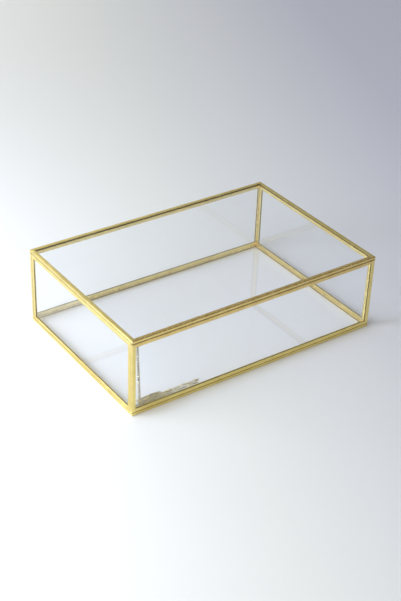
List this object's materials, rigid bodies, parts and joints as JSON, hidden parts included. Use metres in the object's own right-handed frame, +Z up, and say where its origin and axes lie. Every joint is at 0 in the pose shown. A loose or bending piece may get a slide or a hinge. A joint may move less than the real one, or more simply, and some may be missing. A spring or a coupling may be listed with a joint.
{
  "type": "glass casket box",
  "caption": "Shallow clear glass casket for papers and keepsakes, edged in brass channel, with a rear-hinged lid and a fine ring-chain lid stay.",
  "frame": {"origin": "centre of the footprint, at the underside of the base", "axes": "+Z up, +X to the right along the long front, -Y towards the front; the hinge is at the back"},
  "size_m": [0.3, 0.2042, 0.087],
  "materials": {
    "clear_glass": "clear float glass",
    "sheet_brass": "polished, lightly brushed, unlacquered",
    "solder": "brass-coloured soft solder, wiped smooth",
    "brass_wire": "drawn wire, tumbled"
  },
  "bodies": {
    "box": {"front_glass": "clear_glass", "back_glass": "clear_glass", "left_glass": "clear_glass", "right_glass": "clear_glass", "base_glass": "clear_glass", "front_bottom_channel": "sheet_brass", "front_right_channel": "sheet_brass", "front_top_channel": "sheet_brass", "front_left_channel": "sheet_brass", "back_bottom_channel": "sheet_brass", "back_right_channel": "sheet_brass", "back_top_channel": "sheet_brass", "back_left_channel": "sheet_brass", "left_bottom_channel": "sheet_brass", "left_back_channel": "sheet_brass", "left_top_channel": "sheet_brass", "left_front_channel": "sheet_brass", "right_bottom_channel": "sheet_brass", "right_back_channel": "sheet_brass", "right_top_channel": "sheet_brass", "right_front_channel": "sheet_brass", "base_front_channel": "sheet_brass", "base_right_channel": "sheet_brass", "base_back_channel": "sheet_brass", "base_left_channel": "sheet_brass", "corner_solder": "solder", "base_solder": "solder", "box_knuckles": "sheet_brass", "box_hinge_solder": "solder", "hinge_pin": "sheet_brass", "box_eye": "brass_wire"},
    "lid": {"lid_glass": "clear_glass", "lid_front_channel": "sheet_brass", "lid_right_channel": "sheet_brass", "lid_back_channel": "sheet_brass", "lid_left_channel": "sheet_brass", "lid_knuckles": "sheet_brass", "lid_hinge_solder": "solder", "lid_eye": "brass_wire"},
    "stay_run_1": {"stay_run_1": "brass_wire"},
    "stay_run_2": {"stay_run_2": "brass_wire"},
    "stay_run_3": {"stay_run_3": "brass_wire"},
    "stay_run_4": {"stay_run_4": "brass_wire"},
    "stay_run_7": {"stay_run_7": "brass_wire"},
    "stay_run_6": {"stay_run_6": "brass_wire"},
    "stay_run_5": {"stay_run_5": "brass_wire"}
  },
  "joints": [
    {"name": "lid_hinge", "type": "hinge", "parent": "box", "child": "lid", "pos_m": [0, 0.10063, 0.0835], "axis": [-1, 0, 0], "range_deg": [0, 95]},
    {"name": "stay_run_1_turn", "type": "hinge", "parent": "lid", "child": "stay_run_1", "pos_m": [-0.1419, -0.09717, 0.0808], "axis": [0.9951, 0.0582, 0.0799], "range_deg": [0, 54.21]},
    {"name": "stay_run_2_turn", "type": "hinge", "parent": "stay_run_1", "child": "stay_run_2", "pos_m": [-0.136, -0.09286, 0.00415], "axis": [0, 0.9984, 0.0561], "range_deg": [0, 85.61]},
    {"name": "stay_run_3_turn", "type": "hinge", "parent": "stay_run_2", "child": "stay_run_3", "pos_m": [-0.06612, -0.09286, 0.00566], "axis": [0, 1, 0], "range_deg": [0, 180]},
    {"name": "stay_run_4_turn", "type": "hinge", "parent": "stay_run_3", "child": "stay_run_4", "pos_m": [-0.13022, -0.09136, 0.00717], "axis": [0, 0, 1], "range_deg": [0, 180]},
    {"name": "stay_run_7_turn", "type": "hinge", "parent": "box", "child": "stay_run_7", "pos_m": [-0.1439, -0.09637, 0.0073], "axis": [0.0403, -0.7905, 0.6112], "range_deg": [0, 92.66]},
    {"name": "stay_run_6_turn", "type": "hinge", "parent": "stay_run_7", "child": "stay_run_6", "pos_m": [-0.09625, -0.09311, 0.00415], "axis": [-0.0329, 0, -0.9995], "range_deg": [0, 180]},
    {"name": "stay_run_5_turn", "type": "hinge", "parent": "stay_run_6", "child": "stay_run_5", "pos_m": [-0.13622, -0.08835, 0.00415], "axis": [0, 0, 1], "range_deg": [0, 180]}
  ],
  "couplings": [
    {"joint": "stay_run_1_turn", "follows": "lid_hinge", "ratio": 0.57065},
    {"joint": "stay_run_2_turn", "follows": "lid_hinge", "ratio": 0.90111},
    {"joint": "stay_run_3_turn", "follows": "lid_hinge", "ratio": 1.8947},
    {"joint": "stay_run_4_turn", "follows": "lid_hinge", "ratio": 1.8947},
    {"joint": "stay_run_7_turn", "follows": "lid_hinge", "ratio": 0.97532},
    {"joint": "stay_run_6_turn", "follows": "lid_hinge", "ratio": 1.8947},
    {"joint": "stay_run_5_turn", "follows": "lid_hinge", "ratio": 1.8947}
  ]
}
